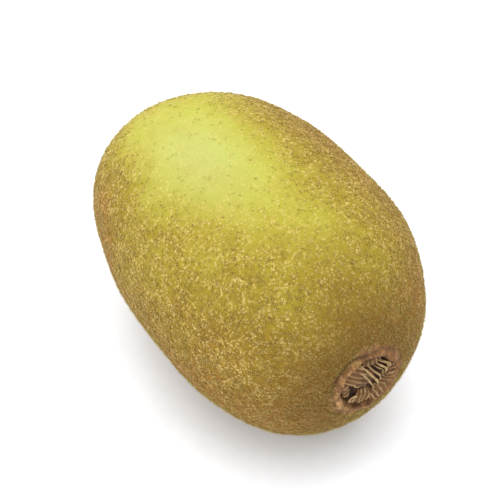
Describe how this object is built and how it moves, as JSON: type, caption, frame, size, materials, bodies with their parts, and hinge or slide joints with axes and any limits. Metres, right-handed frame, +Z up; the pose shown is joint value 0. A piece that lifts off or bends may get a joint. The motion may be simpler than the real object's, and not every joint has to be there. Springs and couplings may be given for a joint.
{
  "type": "golden kiwi fruit",
  "caption": "Whole egg-shaped golden kiwi lying on its side, with a beaked style end and a dried calyx in a shallow hollow at its stalk end.",
  "frame": {"origin": "on the flat spot that the fruit rests on, straight under the middle of its volume", "axes": "+Z is up; +X runs along the fruit's long axis from the beak at its style end to its stalk end"},
  "size_m": [0.0794, 0.0506, 0.0509],
  "materials": {
    "kiwi_skin": "thin matt skin, golden green to olive brown, with fine tan fuzz",
    "dried_calyx": "dry, papery, matt",
    "dried_styles": "dry, brittle, matt"
  },
  "bodies": {
    "root": {"fruit": "kiwi_skin", "calyx": "dried_calyx", "style_tuft": "dried_styles"}
  },
  "joints": []
}
